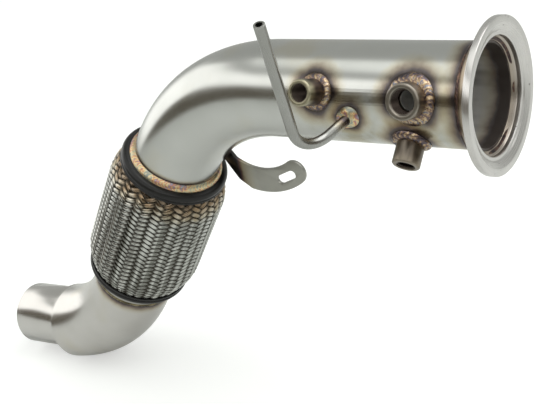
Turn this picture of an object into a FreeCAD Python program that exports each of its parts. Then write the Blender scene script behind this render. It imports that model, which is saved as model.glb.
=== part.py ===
import FreeCAD, Part
import math
import os
from FreeCAD import Placement, Rotation, Vector

os.makedirs("parts", exist_ok=True)

# A turbo downpipe with a V-band inlet, three sensor bosses, a braided flex joint and a swaged outlet.
# Millimetres. The origin is the centre of the inlet flange's face and +X points out of the inlet.
# The pipe runs towards -X, bends down in the XZ plane and bends back to a nearly level outlet.

# Pipe
PIPE_RADIUS = 38.1
PIPE_WALL = 1.65
SLIP = 0.1
END_GAP = 0.3
PIPE_IN_FLANGE = 10.0
INLET_STRAIGHT = 184.0
INLET_BEND_RADIUS = 152.4
INLET_BEND_ANGLE = 55.5

# Inlet flange: steps outwards from the pipe and depths behind its face
FLANGE_BORE_STEP = 3.8
FLANGE_ROOT_STEP = 2.0
FLANGE_DISH_STEP = 3.6
FLANGE_RIM_STEP = 13.5
FLANGE_RIM = 5.0
FLANGE_BACK_ANGLE = 20.0
FLANGE_FLAT = 5.0
FLANGE_DISH_DEPTH = 2.5
FLANGE_LIP_DEPTH = 1.0
FLANGE_BORE_DEPTH = 7.0
FLANGE_HUB_WALL = 2.2
FLANGE_LENGTH = 15.0
FLANGE_EDGE = 0.5
FLANGE_HUB_DIP = 0.8
FLANGE_WELD_LENGTH = 3.5
FLANGE_WELD_BULGE = 0.7
ROOT_WELD_INSET = 1.2
ROOT_WELD_DROP = 1.8
ROOT_WELD_BULGE = 0.5

# Sensor bosses: place along the pipe, turn above the -Y side, height over the pipe, radii
FRONT_BOSS_PLACE = 51.5
FRONT_BOSS_TURN = 16.5
FRONT_BOSS_HEIGHT = 12.2
FRONT_BOSS_RADIUS = 13.0
FRONT_BOSS_BORE = 8.2
FRONT_BOSS_SINK = 9.7
FRONT_BOSS_BEAD = 6.0
REAR_BOSS_PLACE = 129.0
REAR_BOSS_TURN = 21.0
REAR_BOSS_HEIGHT = 20.8
REAR_BOSS_RADIUS = 9.8
REAR_BOSS_BORE = 6.2
REAR_BOSS_SINK = 7.0
REAR_BOSS_BEAD = 4.4
LOWER_BOSS_PLACE = 60.0
LOWER_BOSS_TURN = -42.0
LOWER_BOSS_HEIGHT = 18.2
LOWER_BOSS_RADIUS = 10.2
LOWER_BOSS_BORE = 6.2
LOWER_BOSS_SINK = 7.0
LOWER_BOSS_BEAD = 4.6
BOSS_EDGE = 0.8
BOSS_SEAT = 0.4
BOSS_RELIEF = 1.1
BEAD_THICKNESS = 3.2
BEAD_ROUND = 2.5

# Pressure tube: where its axis leaves the pipe, and from there its corner and its open end
TUBE_RADIUS = 4.0
TUBE_BORE = 2.6
TUBE_BEND_RADIUS = 24.0
TUBE_ROOT_PLACE = 103.0
TUBE_ROOT_TURN = -7.0
TUBE_CORNER_BACK = 20.0
TUBE_CORNER_OUT = 38.2
TUBE_CORNER_DOWN = 16.4
TUBE_END_BACK = 3.0
TUBE_END_OUT = 76.2
TUBE_END_UP = 97.6
TUBE_BEAD = 4.4
TUBE_BEAD_RISE = 3.5
TUBE_BEAD_DIP = 0.4

# Hanger bracket: a flat strip on an arc, with a foot bent back to the pipe
# Its root and its fold are set out from the wall on the inner side of the bend's end
BRACKET_THICKNESS = 3.0
BRACKET_WIDTH = 22.0
BRACKET_FACE = 20.0
BRACKET_ARC_RADIUS = 57.0
BRACKET_ROOT_OUT = 12.3
BRACKET_ROOT_DOWN = 0.2
BRACKET_TIP_ANGLE = -56.0
BRACKET_SLOT_ANGLE = -66.0
BRACKET_FOOT_ANGLE = -121.0
BRACKET_SLOT_LENGTH = 21.0
BRACKET_SLOT_WIDTH = 8.0
BRACKET_FOLD_OUT = 14.2
BRACKET_BEND_ANGLE = 25.0
BRACKET_BEND_RADIUS = 3.0
BRACKET_FOOT = 26.0
BRACKET_BEAD = 3.0

# Flex joint, stations along its own axis from the end of the inlet bend
NECK_WALL = 1.5
UPPER_NECK_START = 5.5
PIPE_IN_NECK = 14.0
NECK_IN_BELLOWS = 18.0
CAP_RISE = 8.3
CAP_WALL = 1.5
CAP_LENGTH = 9.5
CAP_SKIRT = 5.0
CAP_GROOVE = 0.8
CAP_BULGE = 1.6
BRAID_SHOWN = 132.0
LOWER_NECK_SHOWN = 8.5
WELD_LEG = 5.5
WELD_BULGE = 0.7

# Braid: zigzag rows of slanting wire bundles in one wall
BRAID_BELLY = 5.2
BRAID_WALL = 1.4
BRAID_TAPER = 24.0
BRAID_SHOULDER = 1.3
BRAID_TUCK = 4.0
BRAID_COLUMNS = 36
BRAID_ROWS = 24
BRAID_RIDGE = 0.9
BRAID_VALLEY = 0.6
BRAID_SLANT = 2.6
BRAID_STEP_SHARE = 0.22
BRAID_GAP_ROWS = 6
BRAID_GAP_WIDTH = 2.0
BRAID_GAP_LENGTH = 3.2

# Bellows and liner
BELLOWS_WALL = 0.8
BELLOWS_ROOT_RISE = 2.3
BELLOWS_FOLDS = 8
BELLOWS_CREST = 2.4
BELLOWS_GAP = 0.3
BELLOWS_LAND = 6.0
BELLOWS_STEP = 2.0
BELLOWS_CUFF = 3.0
LINER_WALL = 1.5
LINER_LAP = 8.0
LINER_LAP_DEPTH = 0.5

# Outlet pipe
OUTLET_LEAD = 8.0
OUTLET_BEND_RADIUS = 152.4
OUTLET_BEND_ANGLE = 45.5
OUTLET_RADIUS = 31.75
OUTLET_STEP = 7.0
OUTLET_TURN = 6.0
OUTLET_RAISE = 3.0
OUTLET_LENGTH = 55.0

LEFT = Vector(-1, 0, 0)
DOWN = Vector(0, 0, -1)


# Each piece is written to its own file
def save(name, shape):
    shape.exportStep("parts/" + name + ".step")
    print(name, "solids", len(shape.Solids), "valid", shape.isValid(), "volume", round(shape.Volume, 1))


# The frame that stands at a point with its own +Z along a direction
def frame_at(origin, direction):
    return Placement(origin, Rotation(Vector(0, 0, 1), direction))


# A turned ring from corners of radius and station
# A corner with three values is reached on an arc that bulges by the third, to the left of the way it goes
def turned(corners, frame):
    edges = []
    count = len(corners)
    for index in range(count):
        start = Vector(corners[index][0], 0, corners[index][1])
        following = corners[(index + 1) % count]
        end = Vector(following[0], 0, following[1])
        bulge = following[2] if len(following) > 2 else 0
        if bulge:
            along = (end - start).normalize()
            middle = (start + end) * 0.5 + Vector(-along.z, 0, along.x) * bulge
            edges.append(Part.Arc(start, middle, end).toShape())
        else:
            edges.append(Part.makeLine(start, end))
    face = Part.Face(Part.Wire(edges))
    ring = face.revolve(Vector(0, 0, 0), Vector(0, 0, 1), 360)
    ring.Placement = frame
    return ring


# A round bar turned through a bend, from a point and a direction towards a side
def bent_bar(radius, start, direction, towards, bend_radius, angle):
    disc = Part.Face(Part.Wire(Part.makeCircle(radius, start, direction)))
    centre = start + towards * bend_radius
    return disc.revolve(centre, direction.cross(towards), angle)


# A point carried round the same bend, and the direction there
def after_bend(start, direction, towards, bend_radius, angle):
    turn = math.radians(angle)
    along = direction * math.sin(turn) + towards * (1 - math.cos(turn))
    heading = direction * math.cos(turn) + towards * math.sin(turn)
    return start + along * bend_radius, heading


# The centre line
bend_start = LEFT * INLET_STRAIGHT
flex_start, flex_heading = after_bend(bend_start, LEFT, DOWN, INLET_BEND_RADIUS, INLET_BEND_ANGLE)
flex_side = Vector(0, 1, 0).cross(flex_heading)
inlet_frame = frame_at(Vector(0, 0, 0), LEFT)
flex_frame = frame_at(flex_start, flex_heading)

# Stations down the flex joint
upper_cap_start = UPPER_NECK_START
upper_cap_end = upper_cap_start + CAP_LENGTH
lower_cap_start = upper_cap_end + BRAID_SHOWN
lower_cap_end = lower_cap_start + CAP_LENGTH
lower_neck_end = lower_cap_end + LOWER_NECK_SHOWN
upper_neck_end = UPPER_NECK_START + NECK_IN_BELLOWS
lower_neck_start = lower_cap_end - NECK_IN_BELLOWS
outlet_pipe_start = lower_neck_end - PIPE_IN_NECK
outlet_bend_station = lower_neck_end + WELD_LEG + OUTLET_LEAD
neck_bore = PIPE_RADIUS + SLIP
neck_radius = neck_bore + NECK_WALL
cuff_radius = neck_radius + BELLOWS_WALL
cap_mouth = cuff_radius + CAP_WALL
cap_radius = neck_radius + CAP_RISE
braid_belly = cap_radius + BRAID_BELLY
bellows_root = neck_radius + BELLOWS_ROOT_RISE
cap_inside = cap_radius - CAP_WALL

# The outlet's centre line
outlet_bend_start = flex_start + flex_heading * outlet_bend_station
bend_end, end_heading = after_bend(
    outlet_bend_start, flex_heading, flex_side, OUTLET_BEND_RADIUS, OUTLET_BEND_ANGLE)
end_side = Vector(0, 1, 0).cross(end_heading)
outlet_turn = math.radians(OUTLET_TURN)
outlet_heading = end_heading * math.cos(outlet_turn) + end_side * math.sin(outlet_turn)
outlet_start = bend_end + end_side * OUTLET_RAISE + outlet_heading * OUTLET_STEP


# The inlet pipe as a bar of any radius
def inlet_bar(radius):
    straight = Part.makeCylinder(radius, INLET_STRAIGHT - PIPE_IN_FLANGE, LEFT * PIPE_IN_FLANGE, LEFT)
    bend = bent_bar(radius, bend_start, LEFT, DOWN, INLET_BEND_RADIUS, INLET_BEND_ANGLE)
    tail_length = UPPER_NECK_START + PIPE_IN_NECK
    tail = Part.makeCylinder(radius, tail_length, flex_start, flex_heading)
    return straight.fuse([bend, tail]).removeSplitter()


# The outlet pipe as a bar, thinner by an inset all the way
def outlet_bar(inset):
    radius = PIPE_RADIUS - inset
    small = OUTLET_RADIUS - inset
    start = flex_start + flex_heading * outlet_pipe_start
    lead = Part.makeCylinder(radius, outlet_bend_station - outlet_pipe_start, start, flex_heading)
    bend = bent_bar(radius, outlet_bend_start, flex_heading, flex_side, OUTLET_BEND_RADIUS, OUTLET_BEND_ANGLE)
    wide = Part.Wire(Part.makeCircle(radius, bend_end, end_heading))
    narrow = Part.Wire(Part.makeCircle(small, outlet_start, outlet_heading))
    step = Part.makeLoft([wide, narrow], True, True)
    end = Part.makeCylinder(small, OUTLET_LENGTH, outlet_start, outlet_heading)
    return lead.fuse([bend, step, end]).removeSplitter()


inlet_solid = inlet_bar(PIPE_RADIUS)

# Inlet flange, turned from one blank
flange_bore = neck_bore + FLANGE_BORE_STEP
flange_root = flange_bore + FLANGE_ROOT_STEP
flange_dish = flange_bore + FLANGE_DISH_STEP
flange_radius = flange_bore + FLANGE_RIM_STEP
back_depth = FLANGE_RIM + (flange_radius - flange_root) * math.tan(math.radians(FLANGE_BACK_ANGLE))
hub_radius = neck_bore + FLANGE_HUB_WALL
lip_depth = FLANGE_DISH_DEPTH + FLANGE_LIP_DEPTH
flange = turned([
    (flange_radius - FLANGE_EDGE, 0),
    (flange_radius, FLANGE_EDGE),
    (flange_radius, FLANGE_RIM),
    (flange_root, back_depth),
    (hub_radius, FLANGE_LENGTH, FLANGE_HUB_DIP),
    (neck_bore, FLANGE_LENGTH),
    (neck_bore, PIPE_IN_FLANGE),
    (flange_bore, FLANGE_BORE_DEPTH),
    (flange_bore, lip_depth),
    (flange_dish - FLANGE_LIP_DEPTH, lip_depth),
    (flange_dish, FLANGE_DISH_DEPTH),
    (flange_radius - FLANGE_FLAT, 0)], inlet_frame)
save("inlet_flange", flange)

# Bead behind the flange's hub
flange_weld = turned([
    (PIPE_RADIUS, FLANGE_LENGTH),
    (hub_radius, FLANGE_LENGTH),
    (PIPE_RADIUS, FLANGE_LENGTH + FLANGE_WELD_LENGTH, -FLANGE_WELD_BULGE)], inlet_frame)
save("flange_weld", flange_weld)

# Bead inside the flange on the pipe's end
root_slope = (flange_bore - neck_bore) / (PIPE_IN_FLANGE - FLANGE_BORE_DEPTH)
root_weld = turned([
    (PIPE_RADIUS - ROOT_WELD_INSET, PIPE_IN_FLANGE, ROOT_WELD_BULGE),
    (neck_bore, PIPE_IN_FLANGE),
    (neck_bore + ROOT_WELD_DROP * root_slope, PIPE_IN_FLANGE - ROOT_WELD_DROP)], inlet_frame)
save("flange_root_weld", root_weld)


# The direction that leaves the pipe at a turn above its -Y side
def outward(turn):
    angle = math.radians(turn)
    return Vector(0, -math.cos(angle), math.sin(angle))


# A collar that hugs the inlet pipe round a bar, rounded like a fillet weld
def saddle_bead(root, direction, bar_radius, reach, thickness, bar):
    column = Part.makeCylinder(bar_radius + reach, PIPE_RADIUS + 2 * thickness, root, direction)
    shell = Part.makeCylinder(PIPE_RADIUS + thickness, INLET_STRAIGHT, Vector(0, 0, 0), LEFT)
    collar = column.common(shell).cut(inlet_solid).cut(bar)
    ring = collar.Solids[0]
    for piece in collar.Solids:
        if piece.Volume > ring.Volume:
            ring = piece
    rim = []
    for edge in ring.Edges:
        for point in edge.discretize(5):
            off_axis = (point - root).cross(direction).Length
            height = math.hypot(point.y, point.z)
            if abs(off_axis - bar_radius - reach) > 0.01 or abs(height - PIPE_RADIUS - thickness) > 0.01:
                break
        else:
            rim.append(edge)
    return ring.makeFillet(BEAD_ROUND, rim)


# One sensor boss with a lead-in at both ends of its bore, its weld, and the smaller hole that it sits over
def sensor_boss(place, turn, height, radius, bore, sink, bead):
    root = LEFT * place
    direction = outward(turn)
    top = PIPE_RADIUS + height
    bar = Part.makeCylinder(radius, top, root, direction)
    body = Part.makeCylinder(radius, top - BOSS_EDGE, root, direction)
    edge_root = root + direction * (top - BOSS_EDGE)
    edge = Part.makeCone(radius, radius - BOSS_EDGE, BOSS_EDGE, edge_root, direction)
    hole = Part.makeCylinder(bore, top, root, direction)
    sink_depth = sink - bore
    cone = Part.makeCone(bore, sink, sink_depth, root + direction * (top - sink_depth), direction)
    relief_top = PIPE_RADIUS + BOSS_RELIEF
    relief = Part.makeCylinder(sink, relief_top - sink_depth, root, direction)
    lead_root = root + direction * (relief_top - sink_depth)
    lead = Part.makeCone(sink, bore, sink_depth, lead_root, direction)
    boss = body.fuse(edge).cut(inlet_solid).cut(hole).cut(cone).cut(relief).cut(lead).removeSplitter()
    weld = saddle_bead(root, direction, radius, bead, BEAD_THICKNESS, bar)
    drilled = Part.makeCylinder(bore - BOSS_SEAT, top, root, direction)
    return boss, weld, drilled


front_boss, front_weld, front_hole = sensor_boss(
    FRONT_BOSS_PLACE, FRONT_BOSS_TURN, FRONT_BOSS_HEIGHT, FRONT_BOSS_RADIUS,
    FRONT_BOSS_BORE, FRONT_BOSS_SINK, FRONT_BOSS_BEAD)
rear_boss, rear_weld, rear_hole = sensor_boss(
    REAR_BOSS_PLACE, REAR_BOSS_TURN, REAR_BOSS_HEIGHT, REAR_BOSS_RADIUS,
    REAR_BOSS_BORE, REAR_BOSS_SINK, REAR_BOSS_BEAD)
lower_boss, lower_weld, lower_hole = sensor_boss(
    LOWER_BOSS_PLACE, LOWER_BOSS_TURN, LOWER_BOSS_HEIGHT, LOWER_BOSS_RADIUS,
    LOWER_BOSS_BORE, LOWER_BOSS_SINK, LOWER_BOSS_BEAD)
save("front_sensor_boss", front_boss)
save("front_boss_weld", front_weld)
save("rear_sensor_boss", rear_boss)
save("rear_boss_weld", rear_weld)
save("lower_sensor_boss", lower_boss)
save("lower_boss_weld", lower_weld)

# Pressure tube: a straight leg out of the pipe, one bend and a straight leg to the open end
tube_exit = LEFT * TUBE_ROOT_PLACE + outward(TUBE_ROOT_TURN) * PIPE_RADIUS
tube_corner = tube_exit + Vector(-TUBE_CORNER_BACK, -TUBE_CORNER_OUT, -TUBE_CORNER_DOWN)
tube_end = tube_exit + Vector(-TUBE_END_BACK, -TUBE_END_OUT, TUBE_END_UP)
tube_heading = (tube_corner - tube_exit).normalize()
tube_root = tube_exit - tube_heading * PIPE_WALL
tube_leg = tube_corner - tube_root
tube_rise = (tube_end - tube_corner).normalize()
tube_turn = math.degrees(tube_heading.getAngle(tube_rise))
tube_tangent = TUBE_BEND_RADIUS * math.tan(math.radians(tube_turn) / 2)
tube_side = (tube_rise - tube_heading * tube_heading.dot(tube_rise)).normalize()


def tube_bar(radius):
    first_length = tube_leg.Length - tube_tangent
    first = Part.makeCylinder(radius, first_length, tube_root, tube_heading)
    bend_at = tube_root + tube_heading * first_length
    bend = bent_bar(radius, bend_at, tube_heading, tube_side, TUBE_BEND_RADIUS, tube_turn)
    rise_at = tube_corner + tube_rise * tube_tangent
    rise = Part.makeCylinder(radius, (tube_end - rise_at).Length, rise_at, tube_rise)
    return first.fuse([bend, rise]).removeSplitter()


tube_solid = tube_bar(TUBE_RADIUS)
tube_socket = Part.makeCylinder(
    TUBE_RADIUS + SLIP, 4 * TUBE_RADIUS, tube_root - tube_heading * 2 * TUBE_RADIUS, tube_heading)
pressure_tube = tube_solid.cut(tube_bar(TUBE_BORE))

# Its weld, a cone of metal that runs out on the pipe
tube_weld = turned([
    (TUBE_RADIUS, -2 * TUBE_BEAD),
    (TUBE_RADIUS + TUBE_BEAD, -2 * TUBE_BEAD),
    (TUBE_RADIUS + TUBE_BEAD, 0),
    (TUBE_RADIUS, TUBE_BEAD_RISE, -TUBE_BEAD_DIP)], frame_at(tube_exit, tube_heading)).cut(inlet_solid)
save("pressure_tube", pressure_tube)
save("pressure_tube_weld", tube_weld)

# Inlet pipe, drilled under each boss and for the pressure tube
inlet_pipe = inlet_solid.cut(inlet_bar(PIPE_RADIUS - PIPE_WALL))
inlet_pipe = inlet_pipe.cut(front_hole).cut(rear_hole).cut(lower_hole).cut(tube_socket)
save("inlet_pipe", inlet_pipe)


# The bracket's arc stands on its root, beside the wall at the end of the bend
bend_wall = flex_start - flex_side * PIPE_RADIUS
bracket_root = bend_wall + Vector(BRACKET_ROOT_OUT, 0, -BRACKET_ROOT_DOWN)
bracket_fold = bend_wall.x + BRACKET_FOLD_OUT


# The way out from the arc's centre at an angle, seen along Y
def bracket_spoke(angle):
    turn = math.radians(angle)
    return Vector(math.cos(turn), 0, math.sin(turn))


bracket_centre = bracket_root - bracket_spoke(BRACKET_FOOT_ANGLE) * BRACKET_ARC_RADIUS


# A point on the bracket's arc
def on_bracket(radius, angle):
    return bracket_centre + bracket_spoke(angle) * radius


# The way along the bracket's strip at an angle of its arc, towards the tip
def along_bracket(angle):
    turn = math.radians(angle)
    return Vector(-math.sin(turn), 0, math.cos(turn))


# Bracket outline seen along Y: an arc strip with a round tip and a straight foot
bracket_depth = 4 * BRACKET_FOOT
foot_way = along_bracket(BRACKET_FOOT_ANGLE) * -BRACKET_FOOT


def bracket_outline(half_width):
    inner = BRACKET_ARC_RADIUS - half_width
    outer = BRACKET_ARC_RADIUS + half_width
    middle_angle = (BRACKET_TIP_ANGLE + BRACKET_FOOT_ANGLE) / 2
    upper_foot = on_bracket(inner, BRACKET_FOOT_ANGLE)
    lower_foot = on_bracket(outer, BRACKET_FOOT_ANGLE)
    upper_tip = on_bracket(inner, BRACKET_TIP_ANGLE)
    lower_tip = on_bracket(outer, BRACKET_TIP_ANGLE)
    tip_centre = on_bracket(BRACKET_ARC_RADIUS, BRACKET_TIP_ANGLE)
    round_tip = tip_centre + along_bracket(BRACKET_TIP_ANGLE) * half_width
    outline = Part.Wire([
        Part.makeLine(upper_foot + foot_way, upper_foot),
        Part.Arc(upper_foot, on_bracket(inner, middle_angle), upper_tip).toShape(),
        Part.Arc(upper_tip, round_tip, lower_tip).toShape(),
        Part.Arc(lower_tip, on_bracket(outer, middle_angle), lower_foot).toShape(),
        Part.makeLine(lower_foot, lower_foot + foot_way),
        Part.makeLine(lower_foot + foot_way, upper_foot + foot_way)])
    return Part.Face(outline).extrude(Vector(0, bracket_depth, 0))


# The sheet with its fold, seen from above and thicker by a skin on both faces
sheet_turn = math.radians(BRACKET_BEND_ANGLE)
sheet_way = Vector(-math.cos(sheet_turn), math.sin(sheet_turn), 0)
sheet_square = Vector(math.sin(sheet_turn), math.cos(sheet_turn), 0)
sheet_low = bracket_centre.z - 2 * BRACKET_ARC_RADIUS
sheet_high = 3 * BRACKET_ARC_RADIUS
sheet_reach = 2 * BRACKET_ARC_RADIUS


def bracket_sheet(skin):
    thickness = BRACKET_THICKNESS + 2 * skin
    front = Vector(bracket_fold - skin * math.tan(sheet_turn / 2), BRACKET_FACE - skin, sheet_low)
    miter = Vector(thickness * math.tan(sheet_turn / 2), thickness, 0)
    right = Vector(sheet_reach, 0, 0)
    foot_end = front + sheet_way * sheet_reach
    corners = [
        front + right, front, foot_end, foot_end + sheet_square * thickness, front + miter,
        front + right + Vector(0, thickness, 0), front + right]
    return Part.Face(Part.makePolygon(corners)).extrude(Vector(0, 0, sheet_high)), front, front + miter


flat_sheet, fold_front, fold_back = bracket_sheet(0)
fold_edges = []
for edge in flat_sheet.Edges:
    middle = edge.CenterOfMass
    for corner in (fold_front, fold_back):
        if math.hypot(middle.x - corner.x, middle.y - corner.y) < SLIP:
            fold_edges.append(edge)
sheet = flat_sheet.makeFillet(BRACKET_BEND_RADIUS, fold_edges)

# The slot lies along the strip
slot_centre = on_bracket(BRACKET_ARC_RADIUS, BRACKET_SLOT_ANGLE)
slot_way = along_bracket(BRACKET_SLOT_ANGLE)
slot_round = BRACKET_SLOT_WIDTH / 2
slot_reach = slot_way * (BRACKET_SLOT_LENGTH / 2 - slot_round)
slot_side = slot_way.cross(Vector(0, 1, 0)) * slot_round
near = slot_centre - slot_reach
far = slot_centre + slot_reach
slot = Part.Face(Part.Wire([
    Part.makeLine(near + slot_side, far + slot_side),
    Part.Arc(far + slot_side, far + slot_way * slot_round, far - slot_side).toShape(),
    Part.makeLine(far - slot_side, near - slot_side),
    Part.Arc(near - slot_side, near - slot_way * slot_round, near + slot_side).toShape(),
])).extrude(Vector(0, bracket_depth, 0))
strip = sheet.common(bracket_outline(BRACKET_WIDTH / 2))

# The bracket and its bead end just short of the flex joint
flex_room = Part.makeCylinder(sheet_reach, sheet_reach, flex_start - flex_heading * END_GAP, flex_heading)
bracket = strip.cut(slot).cut(inlet_solid).cut(flex_room)
save("hanger_bracket", bracket)

# Bead round the bracket's foot, where it meets the bend
bead_sheet = bracket_sheet(BRACKET_BEAD)[0].common(bracket_outline(BRACKET_WIDTH / 2 + BRACKET_BEAD))
bracket_weld = bead_sheet.common(inlet_bar(PIPE_RADIUS + BRACKET_BEAD))
bracket_weld = bracket_weld.cut(inlet_solid).cut(strip).cut(flex_room)
save("bracket_weld", bracket_weld)

# Necks, the sleeves that the two pipes slip into
upper_neck = turned([
    (neck_bore, UPPER_NECK_START),
    (neck_radius, UPPER_NECK_START),
    (neck_radius, upper_neck_end),
    (neck_bore, upper_neck_end)], flex_frame)
save("upper_neck", upper_neck)
lower_neck = turned([
    (neck_bore, lower_neck_start),
    (neck_radius, lower_neck_start),
    (neck_radius, lower_neck_end),
    (neck_bore, lower_neck_end)], flex_frame)
save("lower_neck", lower_neck)


# Corners given from one end of the flex joint, laid down its axis either way
def laid(corners, base, way):
    result = []
    for corner in corners:
        moved = [corner[0], base + way * corner[1]]
        if len(corner) > 2:
            moved.append(way * corner[2])
        result.append(moved)
    return result


# A pressed cap: mouth on the bellows' cuff, round shoulder, skirt with one rolled groove
shoulder = CAP_LENGTH - CAP_SKIRT
groove = CAP_LENGTH - CAP_SKIRT / 2
cap_corners = [
    (cuff_radius, 0),
    (cap_mouth, 0),
    (cap_radius, shoulder, -CAP_BULGE),
    (cap_radius, groove - CAP_GROOVE),
    (cap_radius, groove + CAP_GROOVE, CAP_GROOVE / 2),
    (cap_radius, CAP_LENGTH),
    (cap_inside, CAP_LENGTH),
    (cap_inside, shoulder + CAP_WALL / 2),
    (cuff_radius, CAP_WALL)]
save("upper_flex_cap", turned(laid(cap_corners, upper_cap_start, 1), flex_frame))
save("lower_flex_cap", turned(laid(cap_corners, lower_cap_end, -1), flex_frame))

# Weld between the inlet pipe and the upper cap
upper_weld = turned([
    (PIPE_RADIUS, 0, WELD_BULGE),
    (PIPE_RADIUS, UPPER_NECK_START),
    (cap_mouth, UPPER_NECK_START)], flex_frame)
save("upper_flex_weld", upper_weld)

# Weld between the lower neck and the outlet pipe
lower_weld_end = lower_neck_end + WELD_LEG
lower_weld = turned([
    (PIPE_RADIUS, lower_neck_end),
    (neck_radius, lower_neck_end),
    (PIPE_RADIUS, lower_weld_end, -WELD_BULGE)], flex_frame)
save("lower_flex_weld", lower_weld)


# The braid tucks under both caps
braid_start = upper_cap_end - BRAID_TUCK
braid_end = lower_cap_start + BRAID_TUCK
braid_tucked = cap_inside - SLIP


# How far the braid's outside stands from the axis at a station
def braid_radius(station):
    inside_ends = min(station - upper_cap_end, lower_cap_start - station)
    rise = min(max(inside_ends / BRAID_TAPER, 0), 1)
    return braid_tucked + (braid_belly - braid_tucked) * math.sin(rise * math.pi / 2)


# Braid: closed zigzag rings, joined by flat facets
# Every row climbs outwards along its bundles and steps back in, and every second column sits lower
def zigzag_ring(station, lift, slant):
    ring = []
    for column in range(BRAID_COLUMNS):
        upward = column % 2 == 0
        along = station + (slant if upward else -slant)
        drop = 0 if upward else BRAID_VALLEY
        radius = braid_radius(along) - drop + lift
        angle = 2 * math.pi * column / BRAID_COLUMNS
        ring.append(Vector(radius * math.cos(angle), radius * math.sin(angle), along))
    return ring


def flat_ring(station, radius):
    ring = []
    for column in range(BRAID_COLUMNS):
        angle = 2 * math.pi * column / BRAID_COLUMNS
        ring.append(Vector(radius * math.cos(angle), radius * math.sin(angle), station))
    return ring


def facets_between(first, second):
    facets = []
    for column in range(BRAID_COLUMNS):
        beside = (column + 1) % BRAID_COLUMNS
        corners = [first[column], first[beside], second[beside], second[column]]
        facets.append(Part.Face(Part.makePolygon([corners[0], corners[1], corners[2], corners[0]])))
        facets.append(Part.Face(Part.makePolygon([corners[0], corners[2], corners[3], corners[0]])))
    return facets


rows_start = upper_cap_end + BRAID_SLANT
rows_end = lower_cap_start - BRAID_SLANT
row_pitch = (rows_end - rows_start) / BRAID_ROWS
rings = [flat_ring(braid_start, braid_tucked)]
for row in range(BRAID_ROWS):
    foot = rows_start + row * row_pitch
    crest = foot + row_pitch * (1 - BRAID_STEP_SHARE)
    rings.append(zigzag_ring(foot, -BRAID_RIDGE, BRAID_SLANT))
    rings.append(zigzag_ring(crest, 0, BRAID_SLANT))
rings.append(zigzag_ring(rows_end, -BRAID_RIDGE, BRAID_SLANT))
rings.append(flat_ring(braid_end, braid_tucked))
outside = []
for index in range(len(rings) - 1):
    outside = outside + facets_between(rings[index], rings[index + 1])
outside.append(Part.Face(Part.makePolygon(rings[0] + [rings[0][0]])))
outside.append(Part.Face(Part.makePolygon(rings[-1] + [rings[-1][0]])))
outside_shell = Part.makeShell(outside)
outside_shell.sewShape()
braid_depth = BRAID_RIDGE + BRAID_VALLEY + BRAID_WALL
tucked_inside = braid_tucked - braid_depth
braid_inside = braid_belly - braid_depth
past_ends = BRAID_WALL
hollow = turned([
    (0, braid_start - past_ends),
    (tucked_inside, braid_start - past_ends),
    (tucked_inside, upper_cap_end),
    (braid_inside, upper_cap_end + BRAID_TAPER, -BRAID_SHOULDER),
    (braid_inside, lower_cap_start - BRAID_TAPER),
    (tucked_inside, lower_cap_start, -BRAID_SHOULDER),
    (tucked_inside, braid_end + past_ends),
    (0, braid_end + past_ends)], Placement())
braid = Part.Solid(outside_shell).cut(hollow)

# Small gaps between the bundles, in the low columns
gaps = []
gap_pitch = (rows_end - rows_start) / BRAID_GAP_ROWS
for gap_row in range(BRAID_GAP_ROWS):
    station = rows_start + (gap_row + 0.5) * gap_pitch
    inner = braid_radius(station) - braid_depth
    gap_corner = Vector(inner - BRAID_WALL, -BRAID_GAP_WIDTH / 2, station - BRAID_GAP_LENGTH / 2)
    for column in range(1, BRAID_COLUMNS, 2):
        gap = Part.makeBox(braid_depth + 2 * BRAID_WALL, BRAID_GAP_WIDTH, BRAID_GAP_LENGTH, gap_corner)
        gap.rotate(Vector(0, 0, 0), Vector(0, 0, 1), 360 * column / BRAID_COLUMNS)
        gaps.append(gap)
braid = braid.cut(Part.makeCompound(gaps))
braid.Placement = flex_frame
save("braid_sleeve", braid)

# Bellows: cuffs on the necks, lands under the braid's ends and folds that follow the braid
land_radius = tucked_inside - SLIP
land_start = upper_cap_start + BELLOWS_CUFF + BELLOWS_STEP
land_end = land_start + BELLOWS_LAND
folds_start = land_end + BELLOWS_STEP
folds_end = lower_cap_end - (folds_start - upper_cap_start)
fold_pitch = (folds_end - folds_start) / BELLOWS_FOLDS


def braid_inside_at(station):
    return braid_radius(station) - braid_depth


def bellows_outline(inset):
    outline = [
        (cuff_radius - inset, upper_cap_start),
        (cuff_radius - inset, upper_cap_start + BELLOWS_CUFF),
        (land_radius - inset, land_start),
        (land_radius - inset, land_end)]
    for fold in range(BELLOWS_FOLDS):
        root = folds_start + fold * fold_pitch
        middle = root + fold_pitch / 2
        half_crest = BELLOWS_CREST / 2
        crest = min(braid_inside_at(middle - half_crest), braid_inside_at(middle + half_crest)) - BELLOWS_GAP
        outline.append((bellows_root - inset, root))
        outline.append((crest - inset, middle - half_crest))
        outline.append((crest - inset, middle + half_crest))
    outline.append((bellows_root - inset, folds_end))
    outline.append((land_radius - inset, lower_cap_end - (land_end - upper_cap_start)))
    outline.append((land_radius - inset, lower_cap_end - (land_start - upper_cap_start)))
    outline.append((cuff_radius - inset, lower_cap_end - BELLOWS_CUFF))
    outline.append((cuff_radius - inset, lower_cap_end))
    return outline


bellows_outside = bellows_outline(0)
bellows_inside = bellows_outline(BELLOWS_WALL)
bellows_inside.reverse()
bellows = turned(bellows_outside + bellows_inside, flex_frame)
save("bellows", bellows)

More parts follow.
